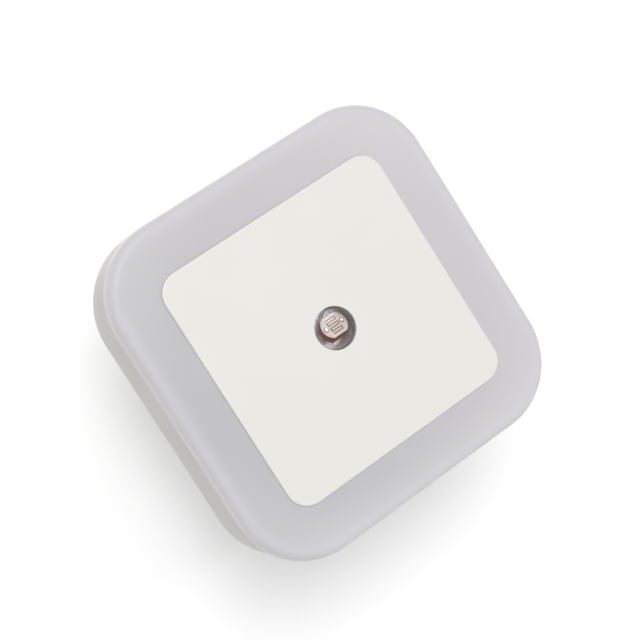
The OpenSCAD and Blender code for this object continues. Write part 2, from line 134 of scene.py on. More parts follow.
HEAD_HALF, HEAD_RADIUS = 32.3, 13.4
trial = bmesh.new()
drawn = outline(trial, square(HEAD_HALF, HEAD_RADIUS), HEAD_RADIUS, 0)
by_hand = (2 * HEAD_HALF) ** 2 - (4 - math.pi) * HEAD_RADIUS ** 2
print(f"head outline: {drawn.calc_area():.0f} mm2, by hand {by_hand:.0f}")
trial.free()

# %% [markdown]
# ## Drawing, stepping and rounding
#
# From one face, three moves make a moulded shell: draw the face out or in, step in from its
# edge, and round the rim. After each move `flat_face` finds the face again by its height.

# %% The three moves
def draw(bm, face, distance):
    """Extrudes a flat face along z, down with a negative distance. A face of a closed shell
    moves, and a face that stands alone stays as the other end."""
    moves = all(len(edge.link_faces) > 1 for edge in face.edges)
    made = bmesh.ops.extrude_face_region(bm, geom=[face])["geom"]
    if moves:
        bmesh.ops.delete(bm, geom=[face], context="FACES_ONLY")
    end = next(part for part in made if isinstance(part, bmesh.types.BMFace))
    bmesh.ops.translate(bm, verts=end.verts, vec=(0, 0, distance))
    return end


def step_in(bm, face, margin):
    """Insets a flat face."""
    bmesh.ops.inset_region(bm, faces=[face], thickness=margin, use_even_offset=True)
    return face


def round_edges(bm, edges, radius, steps):
    """Rounds edges with an arc."""
    bmesh.ops.bevel(bm, geom=list(edges), offset=radius, offset_type="OFFSET", segments=steps,
                    profile=0.5, affect="EDGES", clamp_overlap=True, material=-1)


# %% [markdown]
# ## Holes
#
# A hole through a wall is a row of rings from one face to the other. Neighbouring rings are
# bridged, which makes the hole's lining with its steps and chamfers, and each flat face is
# filled again round its rings.

# %% Rings, linings and pierced faces
def ring(bm, place, radius, z, segments=64):
    """A circle of edges that lies flat at a height."""
    spot = Matrix.Translation((*place, z))
    made = bmesh.ops.create_circle(bm, cap_ends=False, segments=segments, radius=radius,
                                   matrix=spot)
    return list({edge for vert in made["verts"] for edge in vert.link_edges})


def line_hole(bm, rings):
    """Bridges each ring to the next."""
    for lower, upper in zip(rings, rings[1:]):
        bmesh.ops.bridge_loops(bm, edges=lower + upper)


def pierce(bm, face, rings):
    """Fills a flat face again, with a hole at each ring."""
    edges = list(face.edges) + [edge for circle in rings for edge in circle]
    normal = face.normal.copy()
    bmesh.ops.delete(bm, geom=[face], context="FACES_ONLY")
    bmesh.ops.triangle_fill(bm, use_beauty=True, use_dissolve=False, edges=edges, normal=normal)


def post(bm, place, low, high, radius, bore=0, depth=0):
    """A round post, with a blind bore in its foot if one is given."""
    spot = Matrix.Translation((*place, (low + high) / 2))
    made = bmesh.ops.create_cone(bm, cap_ends=True, segments=48, radius1=radius, radius2=radius,
                                 depth=high - low, matrix=spot)
    if bore:
        foot = next(face for vert in made["verts"] for face in vert.link_faces
                    if all(abs(v.co.z - low) < 1e-4 for v in face.verts))
        draw(bm, step_in(bm, foot, radius - bore), depth)


# %% [markdown]
# ## Diffuser
#
# The diffuser is the glowing ring and the rim round it, one moulding of frosted plastic
# 1.8 mm thick. Its front edge is rounded, the face plate lies in a pocket in its middle, and
# behind the pocket stand the posts that the case screws bite into. It is drawn from its rear
# edge: out to the ring face, and back in to the pocket's floor and the hollow behind.

# %% Heights and sizes of the diffuser
SEAM, RING_FACE, PLATE_BACK, PANEL_BACK = 31.2, 34.0, 32.75, 30.95
WALL, FRONT_ROUND = 1.8, 2
POCKET_HALF = 23.01
TUBE_HOLE = 4.8
SLOT_NEAR, SLOT_FAR, SLOT_WIDTH = 18.2, 20.3, 5.6
BOARD_FRONT, SCREW_TIP = 25.2, 29.7
POST_RADIUS, REST_RADIUS, SCREW_BORE = 3.2, 1.6, 1.3
SCREW_PLACES = [(-17, 15), (17, -15)]
REST_PLACES = [(17, 15), (-17, -15)]
ROOT = 0.2  # how far a post reaches into the wall that it stands on

# %% The diffuser's shell
shell = bmesh.new()
draw(shell, outline(shell, square(HEAD_HALF, HEAD_RADIUS), HEAD_RADIUS, SEAM), RING_FACE - SEAM)
round_edges(shell, flat_face(shell, RING_FACE).edges, FRONT_ROUND, 10)
draw(shell, step_in(shell, flat_face(shell, RING_FACE), HEAD_HALF - FRONT_ROUND - POCKET_HALF),
     PLATE_BACK - RING_FACE)
hollow = draw(shell, step_in(shell, flat_face(shell, SEAM), WALL), RING_FACE - WALL - SEAM)
draw(shell, step_in(shell, hollow, HEAD_HALF - 2 * WALL - POCKET_HALF),
     PANEL_BACK - RING_FACE + WALL)

# %% The diffuser's holes and posts
def slot_ring(bm, quarter, near, far, width, z):
    """The four edges of a slot, on one of the four sides of the plate."""
    spot = (Matrix.Rotation(math.radians(90 * quarter), 4, "Z")
            @ Matrix.Translation(((near + far) / 2, 0, z))
            @ Matrix.Diagonal((far - near, width, 1, 1)))
    made = bmesh.ops.create_grid(bm, x_segments=1, y_segments=1, size=0.5, matrix=spot)
    face = made["verts"][0].link_faces[0]
    edges = list(face.edges)
    bmesh.ops.delete(bm, geom=[face], context="FACES_ONLY")
    return edges


holes = [[ring(shell, (0, 0), TUBE_HOLE, z) for z in (PANEL_BACK, PLATE_BACK)]]
holes += [[slot_ring(shell, quarter, SLOT_NEAR, SLOT_FAR, SLOT_WIDTH, z)
           for z in (PANEL_BACK, PLATE_BACK)] for quarter in range(4)]
for hole in holes:
    line_hole(shell, hole)
pierce(shell, flat_face(shell, PANEL_BACK), [hole[0] for hole in holes])
pierce(shell, flat_face(shell, PLATE_BACK), [hole[1] for hole in holes])
for place in SCREW_PLACES:
    post(shell, place, BOARD_FRONT, PANEL_BACK + ROOT, POST_RADIUS, SCREW_BORE,
         SCREW_TIP - BOARD_FRONT)
for place in REST_PLACES:
    post(shell, place, BOARD_FRONT, PANEL_BACK + ROOT, REST_RADIUS)
diffuser = hang(shell, "frosted_diffuser", "diffuser")

# %% [markdown]
# ## Face plate
#
# The opaque plate hides the circuit board and keeps the light in the ring. It stands 0.35 mm
# proud of the ring with a softened front edge, and four snap legs hold it. The hole in its
# middle has a wider seat at the back, where the window's flange is trapped.

# %% The plate, its hole and its legs
PLATE_FRONT, PLATE_HALF, PLATE_RADIUS, PLATE_ROUND = 34.35, 23, 4.1, 0.3
FLANGE_RADIUS, FLANGE_TOP = 4.7, 33.35
LEG_REACH, LEG_WIDTH = 19, 5
LEG = [(-0.5, 29.85), (0.5, 29.85), (1, 30.85), (0.5, 30.85), (0.5, 32.9), (-0.5, 32.9)]
plate = bmesh.new()
draw(plate, outline(plate, square(PLATE_HALF, PLATE_RADIUS), PLATE_RADIUS, PLATE_BACK, 12),
     PLATE_FRONT - PLATE_BACK)
round_edges(plate, flat_face(plate, PLATE_FRONT).edges, PLATE_ROUND, 5)
steps = [(FLANGE_RADIUS, PLATE_BACK), (FLANGE_RADIUS, FLANGE_TOP), (3.8, FLANGE_TOP),
         (3.8, PLATE_FRONT - 0.1), (3.83, PLATE_FRONT - 0.03), (3.9, PLATE_FRONT)]
window_hole = [ring(plate, (0, 0), radius, z) for radius, z in steps]
line_hole(plate, window_hole)
pierce(plate, flat_face(plate, PLATE_BACK), window_hole[:1])
pierce(plate, flat_face(plate, PLATE_FRONT), window_hole[-1:])
for quarter in range(4):
    side = plate.faces.new([plate.verts.new((LEG_REACH + x, -LEG_WIDTH / 2, z)) for x, z in LEG])
    made = bmesh.ops.extrude_face_region(plate, geom=[side])["geom"]
    far = [part for part in made if isinstance(part, bmesh.types.BMVert)]
    bmesh.ops.translate(plate, verts=far, vec=(0, LEG_WIDTH, 0))
    bmesh.ops.rotate(plate, verts=far + list(side.verts), cent=(0, 0, 0),
                     matrix=Matrix.Rotation(math.radians(90 * quarter), 3, "Z"))
face_plate = hang(plate, "face_plate", "front_plate")

# %% [markdown]
# ## Rear housing
#
# The housing is one moulding too: the side wall with its rounded back edge, the plug block
# that carries the pins, and inside it the posts and ribs. It sits 0.1 mm inside the rim of
# the diffuser and has rounder corners, which the rim overhangs. It steps in again just before
# the seam, and that makes the fine dark groove between the two. A thin tongue runs on into
# the rim and keeps the two in line. The ribs stand on the floor, and those that run across end
# in the walls of the screw wells.

# %% The housing's outer shell and its tongue
HEAD_BACK, FLOOR = 18.0, 19.8
SIDE_HALF, SIDE_RADIUS, BACK_ROUND = 32.2, 14.1, 1.6
GROOVE_HEIGHT, GROOVE_DEPTH = 0.3, 0.35
TONGUE_STEP, TONGUE_WALL, TONGUE_HEIGHT, TONGUE_ROOT = 1.45, 1.0, 0.8, 3
housing = bmesh.new()
draw(housing, outline(housing, square(SIDE_HALF, SIDE_RADIUS), SIDE_RADIUS, HEAD_BACK),
     SEAM - GROOVE_HEIGHT - HEAD_BACK)
round_edges(housing, flat_face(housing, HEAD_BACK).edges, BACK_ROUND, 8)
groove = step_in(housing, flat_face(housing, SEAM - GROOVE_HEIGHT), GROOVE_DEPTH)
step = draw(housing, groove, GROOVE_HEIGHT)
tongue = draw(housing, step_in(housing, step, TONGUE_STEP), TONGUE_HEIGHT)
root = draw(housing, step_in(housing, tongue, TONGUE_WALL), -TONGUE_HEIGHT - TONGUE_ROOT)
widen = (SIDE_HALF - WALL) / (SIDE_HALF - GROOVE_DEPTH - TONGUE_STEP - TONGUE_WALL)
bmesh.ops.scale(housing, verts=root.verts, vec=(widen, widen, 1))
draw(housing, root, FLOOR - (SEAM - TONGUE_ROOT))

# %% The plug block: an outer wall round a cavity
PLUG = [(-12.05, -4.85), (12.05, -4.85), (15.65, -1.5), (15.65, 1.5),
        (12.05, 4.85), (-12.05, 4.85), (-15.65, 1.5), (-15.65, -1.5)]
PLUG_RADIUS, CAVITY_RADIUS, PLUG_ROUND = 2, 1.1, 1
PIN_PLACES = [(-9.5, 0), (9.5, 0)]
SEAT_WALL = 2.4


def loop_of(bm, centres, radius, z):
    """The edges of an outline, without its face."""
    face = outline(bm, centres, radius, z, 8)
    edges = list(face.edges)
    bmesh.ops.delete(bm, geom=[face], context="FACES_ONLY")
    return edges


def closed_cup(bm, mouth, centres, radius, z):
    """A wall from a mouth loop to a new flat end."""
    end = outline(bm, centres, radius, z, 8)
    bmesh.ops.bridge_loops(bm, edges=mouth + list(end.edges))


outer_mouth = loop_of(housing, PLUG, PLUG_RADIUS, HEAD_BACK)
inner_mouth = loop_of(housing, PLUG, CAVITY_RADIUS, FLOOR)
closed_cup(housing, outer_mouth, PLUG, PLUG_RADIUS, 0)
closed_cup(housing, inner_mouth, PLUG, CAVITY_RADIUS, SEAT_WALL)

# %% Wells, pin holes, posts and ribs
BOARD_BACK, SCREW_SEAT = 24, 21.4
WELL_RADIUS, SHANK_HOLE, SLEEVE_RADIUS = 2.5, 1.5, 1.8
steps = [(POST_RADIUS, FLOOR), (POST_RADIUS, BOARD_BACK), (SHANK_HOLE, BOARD_BACK),
         (SHANK_HOLE, SCREW_SEAT), (WELL_RADIUS, SCREW_SEAT), (WELL_RADIUS, HEAD_BACK + 0.15),
         (WELL_RADIUS + 0.15, HEAD_BACK)]
wells = []
for place in SCREW_PLACES:
    wells.append([ring(housing, place, radius, z, 48) for radius, z in steps])
    line_hole(housing, wells[-1])
pierce(housing, flat_face(housing, HEAD_BACK), [outer_mouth] + [well[-1] for well in wells])
pierce(housing, flat_face(housing, FLOOR), [inner_mouth] + [well[0] for well in wells])
round_edges(housing, flat_face(housing, 0).edges, PLUG_ROUND, 6)
pin_holes = [[ring(housing, place, SLEEVE_RADIUS, z, 48) for z in (0, SEAT_WALL)]
             for place in PIN_PLACES]
for hole in pin_holes:
    line_hole(housing, hole)
pierce(housing, flat_face(housing, 0), [hole[0] for hole in pin_holes])
pierce(housing, flat_face(housing, SEAT_WALL), [hole[1] for hole in pin_holes])
for place in REST_PLACES:
    post(housing, place, FLOOR - ROOT, BOARD_BACK, REST_RADIUS)
RIB_WALL, RIB_HEIGHT = 1.2, 2
RIBS = [(21.65, 0, RIB_WALL, 60.9), (-21.65, 0, RIB_WALL, 60.9),
        (-25.15, 15, 10.6, RIB_WALL), (8.15, 15, 44.6, RIB_WALL),
        (25.15, -15, 10.6, RIB_WALL), (-8.15, -15, 44.6, RIB_WALL)]
for x, y, wide, long in RIBS:
    spot = (Matrix.Translation((x, y, FLOOR + (RIB_HEIGHT - ROOT) / 2))
            @ Matrix.Diagonal((wide, long, RIB_HEIGHT + ROOT, 1)))
    bmesh.ops.create_cube(housing, size=1, matrix=spot)
rear_housing = hang(housing, "rear_housing", "back_housing")

# %% [markdown]
# ## Turned pieces
#
# The pins, their sleeves, the window and the tube behind it are round, so each is half a
# section that is spun once round its axis. Points are given as radius and height, from the
# bottom up. A section that starts and ends on the axis closes itself, and a tube's section
# is closed before it is spun.

# %% A lathe
def turn(bm, section, place=(0, 0), closed=False, steps=64):
    """Spins a section of (radius, height) points round an upright axis."""
    points = [bm.verts.new((place[0] + radius, place[1], z)) for radius, z in section]
    pairs = list(zip(points, points[1:])) + ([(points[-1], points[0])] if closed else [])
    lines = [bm.edges.new(pair) for pair in pairs]
    bmesh.ops.spin(bm, geom=points + lines, cent=(*place, 0), axis=(0, 0, 1), dvec=(0, 0, 0),
                   angle=math.radians(360), steps=steps, use_merge=True)


def arc(centre_r, centre_z, radius, start, stop, steps=6):
    """Points of a section's rounded corner, with angles in degrees."""
    turns = [math.radians(start + (stop - start) * i / steps) for i in range(steps + 1)]
    return [(centre_r + radius * math.cos(a), centre_z + radius * math.sin(a)) for a in turns]


# %% [markdown]
# ## Pins and sleeves
#
# Each pin is one turned brass piece under nickel: a head inside the plug, a neck through the
# seating wall, and the bare end with its rounded tip. A moulded sleeve fills the step round
# the neck, so that a finger can't reach live metal while the pins are half way in.

# %% Pins and sleeves
PIN_TIP, SLEEVE_END, PIN_TOP = -19, -10, 4
PIN_RADIUS, TIP_ROUND, NECK_RADIUS, PIN_HEAD = 2, 1.2, 1.45, 2.7
pins, sleeves = [], []
for place, side in zip(PIN_PLACES, ("left", "right")):
    bar = bmesh.new()
    turn(bar, [(0, PIN_TIP)]
         + arc(PIN_RADIUS - TIP_ROUND, PIN_TIP + TIP_ROUND, TIP_ROUND, -90, 0, 8)
         + arc(PIN_RADIUS - 0.12, SLEEVE_END - 0.12, 0.12, 0, 90, 3)
         + [(NECK_RADIUS, SLEEVE_END), (NECK_RADIUS, SEAT_WALL), (PIN_HEAD - 0.1, SEAT_WALL),
            (PIN_HEAD, SEAT_WALL + 0.1), (PIN_HEAD, PIN_TOP - 0.1), (PIN_HEAD - 0.1, PIN_TOP),
            (0, PIN_TOP)], place)
    pins.append(hang(bar, f"{side}_plug_pin", f"{side}_pin"))
    sleeve = bmesh.new()
    turn(sleeve, [(NECK_RADIUS, SLEEVE_END), (SLEEVE_RADIUS - 0.08, SLEEVE_END),
                  (SLEEVE_RADIUS, SLEEVE_END + 0.08), (SLEEVE_RADIUS, SEAT_WALL),
                  (NECK_RADIUS, SEAT_WALL)], place, closed=True)
    sleeves.append(hang(sleeve, f"{side}_pin_sleeve", f"{side}_sleeve"))

# %% [markdown]
# ## Case screws
#
# Two screws go in from the back, at the bottom of deep wells. Their heads have a soft edge
# and a cross recess that narrows towards its floor, as a driver's tip does. Both are one node.

# %% Screws
def cross_ring(bm, place, half, arm, z):
    """A cross-shaped loop of twelve edges."""
    corner = [(arm, -arm), (half, -arm), (half, arm)]
    points = [Matrix.Rotation(math.radians(90 * quarter), 2) @ Vector(p)
              for quarter in range(4) for p in corner]
    verts = [bm.verts.new((place[0] + p.x, place[1] + p.y, z)) for p in points]
    return [bm.edges.new(pair) for pair in zip(verts, verts[1:] + verts[:1])]


SCREW_TOP, RECESS_DEPTH = 19.8, 0.96
SCREW_HEAD, HEAD_ROUND, SHANK_RADIUS, SHANK_END = 2.3, 0.3, 1.3, 29.4
screws = bmesh.new()
for place in SCREW_PLACES:
    recess = [cross_ring(screws, place, 1.38, 0.35, SCREW_TOP),
              cross_ring(screws, place, 0.9, 0.22, SCREW_TOP + RECESS_DEPTH)]
    line_hole(screws, recess)
    bmesh.ops.contextual_create(screws, geom=recess[1])
    rim = ring(screws, place, SCREW_HEAD - HEAD_ROUND, SCREW_TOP, 48)
    bmesh.ops.triangle_fill(screws, use_beauty=True, use_dissolve=False, edges=recess[0] + rim,
                            normal=(0, 0, -1))
    turn(screws, arc(SCREW_HEAD - HEAD_ROUND, SCREW_TOP + HEAD_ROUND, HEAD_ROUND, -90, 0, 4)
         + [(SCREW_HEAD, SCREW_SEAT), (SHANK_RADIUS, SCREW_SEAT), (SHANK_RADIUS, SHANK_END - 0.3),
            (SHANK_RADIUS - 0.3, SHANK_END), (0, SHANK_END)], place, steps=48)
case_screws = hang(screws, "case_screw_pair", "case_screws")

# %% [markdown]
# ## Window and tube
#
# The window is a clear disc with a flange that the plate holds down. Its front is domed by
# less than a tenth of a millimetre, as a moulded lens is, and that is what turns the
# reflection of a lamp into a soft glint instead of a veil. Behind it a grey cup stands on the
# circuit board round the photocell, and keeps the lamp's own light out. Its glossy bore is
# what shows round the photocell, and the cell's wires go through its thick foot.

# %% Window and tube
WINDOW_FRONT, WINDOW_RADIUS, DOME = 34.05, 3.7, 80
lens = bmesh.new()
turn(lens, [(0, PLATE_BACK), (FLANGE_RADIUS - 0.05, PLATE_BACK), (FLANGE_RADIUS, PLATE_BACK + 0.05),
            (FLANGE_RADIUS, FLANGE_TOP - 0.05), (FLANGE_RADIUS - 0.05, FLANGE_TOP),
            (WINDOW_RADIUS, FLANGE_TOP), (WINDOW_RADIUS, 33.87), (WINDOW_RADIUS - 0.03, 33.94)]
     + arc(0, WINDOW_FRONT - DOME, DOME, 87.42, 90, 9), steps=96)
window = hang(lens, "clear_window", "sensor_window")
TUBE_FLOOR, TUBE_OUTSIDE, TUBE_BORE = BOARD_FRONT + 2, 4.6, 3.8
tube = bmesh.new()
turn(tube, [(0, BOARD_FRONT), (TUBE_OUTSIDE, BOARD_FRONT), (TUBE_OUTSIDE, PLATE_BACK),
            (TUBE_BORE + 0.1, PLATE_BACK), (TUBE_BORE, PLATE_BACK - 0.1),
            (TUBE_BORE, TUBE_FLOOR + 0.3), (TUBE_BORE - 0.3, TUBE_FLOOR), (0, TUBE_FLOOR)],
     steps=96)
shade_tube = hang(tube, "shade_tube", "sensor_tube")

# %% [markdown]
# ## Photocell
#
# The photocell is a disc with two flats, under a red lacquer. Its colour is painted darker on
# the face that looks out and lighter on the sides, to even out the strong light on its front
# and the shade on its sides. It was fitted by hand, so it leans back 20 degrees and sits a
# little off the tube's axis. The metal film on its front, the winding track and the two wires
# keep their CAD nodes, which have the right shape already.

# %% The photocell's body
CELL_RADIUS, CELL_FLAT, CELL_DEPTH, CELL_ROUND = 2.55, 2.15, 2, 0.12
CELL_PLACE, CELL_LEAN = (0.9, 0.3, 31.7146), math.radians(-20)
cell = bmesh.new()
bmesh.ops.create_circle(cell, cap_ends=True, segments=128, radius=CELL_RADIUS)
for side in (-1, 1):
    bmesh.ops.bisect_plane(cell, geom=list(cell.verts) + list(cell.edges) + list(cell.faces),
                           plane_co=(0, side * CELL_FLAT, 0), plane_no=(0, side, 0),
                           clear_outer=True)
draw(cell, flat_face(cell, 0), -CELL_DEPTH)
ends = list(flat_face(cell, 0).edges) + list(flat_face(cell, -CELL_DEPTH).edges)
round_edges(cell, ends, CELL_ROUND, 4)
lean = Matrix.Translation(CELL_PLACE) @ Matrix.Rotation(CELL_LEAN, 4, "X")
bmesh.ops.transform(cell, matrix=lean, verts=cell.verts)
cell_body = hang(cell, "lacquered_cell", "photocell")

# %% [markdown]
# ## How the finishes are made
#
# Moulded plastic is never one flat colour. Its tone drifts a little across a part, its gloss
# changes where the mould was handled, and the mould's spark-eroded skin leaves a fine grain.
# Small helpers add those to a Principled shader, from the piece's own coordinates. Those are
# metres, so a noise scale of one over a size in metres gives features of that size. `ramp`
# takes the coordinates through a few vector operations instead, which gives a distance, and
# spreads that from 0 to 1, or to less. What is the same all over is set on the shader's own
# socket.

# %% Helpers for finishes
def finish(name, colour, roughness, metallic=0.0):
    """A material with a Principled shader in linear colour."""
    material = bpy.data.materials.new(name)
    material.use_nodes = True
    shader = material.node_tree.nodes["Principled BSDF"]
    shader.inputs["Base Color"].default_value = (*colour, 1)
    shader.inputs["Roughness"].default_value = roughness
    shader.inputs["Metallic"].default_value = metallic
    return material


def noise(material, size_mm, detail=2.0):
    """Noise on the piece's own coordinates, with features of a size in millimetres."""
    nodes, links = material.node_tree.nodes, material.node_tree.links
    place = nodes.new("ShaderNodeTexCoord")
    cloud = nodes.new("ShaderNodeTexNoise")
    cloud.inputs["Scale"].default_value = 1 / (size_mm * MM)
    cloud.inputs["Detail"].default_value = detail
    links.new(place.outputs["Object"], cloud.inputs["Vector"])
    return cloud.outputs["Fac"]


def ramp(material, low_mm, high_mm, *moves, most=1.0):
    """Rises from 0 between two distances, which vector operations make of the place."""
    nodes, links = material.node_tree.nodes, material.node_tree.links
    socket = nodes.new("ShaderNodeTexCoord").outputs["Object"]
    for operation, value in moves:
        move = nodes.new("ShaderNodeVectorMath")
        move.operation = operation
        move.inputs[1].default_value = value
        links.new(socket, move.inputs[0])
        socket = move.outputs["Value" if operation in ("LENGTH", "DOT_PRODUCT") else "Vector"]
    spread = nodes.new("ShaderNodeMapRange")
    spread.interpolation_type = "SMOOTHSTEP"
    spread.inputs["From Min"].default_value = low_mm * MM
    spread.inputs["From Max"].default_value = high_mm * MM
    spread.inputs["To Max"].default_value = most
    links.new(socket, spread.inputs["Value"])
    return spread.outputs["Result"]


def blend(material, colour, factor):
    """Mixes a colour into the base colour as it is so far."""
    nodes, links = material.node_tree.nodes, material.node_tree.links
    base = nodes["Principled BSDF"].inputs["Base Color"]
    mix = nodes.new("ShaderNodeMix")
    mix.data_type = "RGBA"
    mix.inputs["A"].default_value = base.default_value
    if base.is_linked:
        links.new(base.links[0].from_socket, mix.inputs["A"])
    mix.inputs["B"].default_value = (*colour, 1)
    links.new(factor, mix.inputs["Factor"])
    links.new(mix.outputs["Result"], base)


def drift_colour(material, other, size_mm):
    """Lets the base colour drift towards another one."""
    blend(material, other, noise(material, size_mm))


def drift_gloss(material, low, high, size_mm):
    """Lets the roughness drift between two values."""
    nodes, links = material.node_tree.nodes, material.node_tree.links
    spread = nodes.new("ShaderNodeMapRange")
    spread.inputs["From Min"].default_value = 0.3
    spread.inputs["From Max"].default_value = 0.7
    spread.inputs["To Min"].default_value = low
    spread.inputs["To Max"].default_value = high
    links.new(noise(material, size_mm), spread.inputs["Value"])
    links.new(spread.outputs["Result"], nodes["Principled BSDF"].inputs["Roughness"])


def raise_grain(material, size_mm, depth_mm):
    """Raises a fine grain of a size and a depth."""
    nodes, links = material.node_tree.nodes, material.node_tree.links
    bump = nodes.new("ShaderNodeBump")
    bump.inputs["Distance"].default_value = depth_mm * MM
    links.new(noise(material, size_mm, 3.0), bump.inputs["Height"])
    links.new(bump.outputs["Normal"], nodes["Principled BSDF"].inputs["Normal"])


def wear(material, *things):
    """Gives objects, or CAD nodes by name, one material."""
    for thing in things:
        mesh = (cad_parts[thing] if isinstance(thing, str) else thing).data
        mesh.materials.clear()
        mesh.materials.append(material)
    print(material.name, "on", ", ".join(t if isinstance(t, str) else t.name for t in things))


# %% [markdown]
# ## The white mouldings
#
# The face plate is an opaque, faintly warm white with a satin skin. The diffuser is the same
# kind of plastic without the white filler: light goes into it, so it looks greyer and cooler,
# and a little subsurface scattering softens its edges. Its base colour isn't even either:
# painted light and glow make it lighter towards the upper right, the corners, the lower side
# and the outer edge, and lightest down the thin side of the rim, where light would come
# through the plastic. Each of those is one `blend` with its own `ramp`. The housing is plain
# warm white.

# %% Face plate, diffuser and housing
white = finish("Satin white moulding", (0.815, 0.806, 0.772), 0.38)
drift_colour(white, (0.803, 0.794, 0.760), 14)
drift_gloss(white, 0.35, 0.42, 6)
raise_grain(white, 0.12, 0.0015)
shader = white.node_tree.nodes["Principled BSDF"]
shader.inputs["Subsurface Weight"].default_value = 0.5
shader.inputs["Subsurface Radius"].default_value = (1, 1, 1)
shader.inputs["Subsurface Scale"].default_value = 0.4 * MM
wear(white, face_plate)

frost = finish("Frosted diffuser plastic", (0.532, 0.527, 0.552), 0.5)
drift_colour(frost, (0.546, 0.540, 0.567), 8)
# Painted light: lighter towards the upper right, where light comes into the ring.
painted_light_upper_right = ramp(frost, -34, 44, ("DOT_PRODUCT", (0.9, 0, 0.45)))
blend(frost, (0.642, 0.617, 0.645), painted_light_upper_right)
# Painted glow: lighter away from the axis, towards the corners.
painted_glow_from_axis = ramp(frost, 26, 38, ("MULTIPLY", (1, 0, 1)), ("LENGTH", (0, 0, 0)), most=0.2)
blend(frost, (0.800, 0.790, 0.800), painted_glow_from_axis)
# Painted light: lighter towards the lower side.
painted_light_lower_side = ramp(frost, 23, 31, ("DOT_PRODUCT", (0, 0, -1)), most=0.33)
blend(frost, (0.720, 0.710, 0.725), painted_light_lower_side)
# Painted glow: lighter towards the outer edge, where light comes in through the rim.
arc_centre = [(HEAD_HALF - HEAD_RADIUS) * MM] * 3
painted_glow_outer_edge = ramp(frost, 9.5, 14, ("ABSOLUTE", (0, 0, 0)), ("SUBTRACT", arc_centre),
                   ("MAXIMUM", (0, 0, 0)), ("MULTIPLY", (1, 0, 1)), ("LENGTH", (0, 0, 0)))
blend(frost, (0.680, 0.668, 0.700), painted_glow_outer_edge)
# Painted glow: much lighter down the thin side of the rim, where light shines through it.
painted_glow_rim_side = ramp(frost, -33.4, -32.2, ("DOT_PRODUCT", (0, 1, 0)))
blend(frost, (0.930, 0.900, 0.915), painted_glow_rim_side)
drift_gloss(frost, 0.46, 0.55, 5)
raise_grain(frost, 0.2, 0.004)
shader = frost.node_tree.nodes["Principled BSDF"]
shader.inputs["Subsurface Weight"].default_value = 0.6
shader.inputs["Subsurface Radius"].default_value = (1, 1, 1)
shader.inputs["Subsurface Scale"].default_value = 0.8 * MM
wear(frost, diffuser)

shell_white = finish("Warm white moulding", (0.828, 0.809, 0.788), 0.5)
drift_colour(shell_white, (0.803, 0.783, 0.762), 16)
drift_gloss(shell_white, 0.45, 0.56, 6)
raise_grain(shell_white, 0.16, 0.004)
wear(shell_white, rear_housing)

# %% [markdown]
# ## The sensor
#
# The window is clear, so a Glass shader would do, but it would also darken the photocell
# behind it, because few light paths find their way through. The way taken is a mirror that is
# almost wholly transparent: what is left of it is the window's gloss. Round its edge it is
# denser and dark, which is painted shade for the shadow in the gap where the real one meets
# the plate. The tube is glossy grey plastic, the cell's lacquer is red, painted darker on its
# front and lighter on its sides, and the film is pale metal.

# %% Window, tube, cell, film, track and wires
clear = finish("Clear moulded window", (0.92, 0.93, 0.94), 0.05, 1.0)
# Painted shade: a dark, denser ring round the window's edge stands for the shadow beside the plate.
edge = ramp(clear, 3.35, 3.65, ("MULTIPLY", (1, 0, 1)), ("LENGTH", (0, 0, 0)))
blend(clear, (0.05, 0.047, 0.045), edge)
nodes, links = clear.node_tree.nodes, clear.node_tree.links
density = nodes.new("ShaderNodeMapRange")
density.inputs["To Min"].default_value = 0.02
density.inputs["To Max"].default_value = 0.38
links.new(edge, density.inputs["Value"])
links.new(density.outputs["Result"], nodes["Principled BSDF"].inputs["Alpha"])
drift_gloss(clear, 0.10, 0.14, 2)
wear(clear, window)

grey = finish("Glossy grey tube", (0.93, 0.90, 0.88), 0.22, 0.15)
drift_colour(grey, (0.55, 0.52, 0.50), 1.6)
drift_gloss(grey, 0.10, 0.26, 0.8)
raise_grain(grey, 1.1, 0.06)
wear(grey, shade_tube)

lacquer = finish("Dark red lacquer", (0.70, 0.008, 0.010), 0.3)
drift_colour(lacquer, (0.15, 0.003, 0.004), 1.1)
nodes, links = lacquer.node_tree.nodes, lacquer.node_tree.links
nodes["Principled BSDF"].inputs["Specular IOR Level"].default_value = 0.05
# Painted shade and light: faces that look to the front get a dark colour and the sides keep a
# lighter red, to even out the strong light on the front and the shade on the sides.
skin, front = nodes.new("ShaderNodeNewGeometry"), nodes.new("ShaderNodeVectorMath")
front.operation = "DOT_PRODUCT"
front.inputs[1].default_value = (0, -1, 0)
links.new(skin.outputs["Normal"], front.inputs[0])
blend(lacquer, (0.10, 0.035, 0.028), front.outputs["Value"])
raise_grain(lacquer, 0.8, 0.03)
wear(lacquer, cell_body)

film = finish("Evaporated metal film", (0.70, 0.60, 0.545), 0.4, 0.12)
drift_colour(film, (0.58, 0.48, 0.43), 0.9)
drift_gloss(film, 0.3, 0.5, 0.4)
wear(film, "photocell_face")

track = finish("Printed sensing track", (0.30, 0.17, 0.14), 0.5)
drift_colour(track, (0.12, 0.06, 0.05), 0.8)
wear(track, "photocell_track")

tinned = finish("Tinned wire", (0.80, 0.80, 0.80), 0.25, 1.0)
drift_gloss(tinned, 0.2, 0.38, 0.4)
wear(tinned, "photocell_leads", "component_leads")

# %% [markdown]
# ## Metal and black plastic outside
#
# The pins are nickel over turned brass: bright, with faint rings from the lathe. Stretching
# noise a hundredfold across the pin's length gives such rings, and a Mapping node does that.

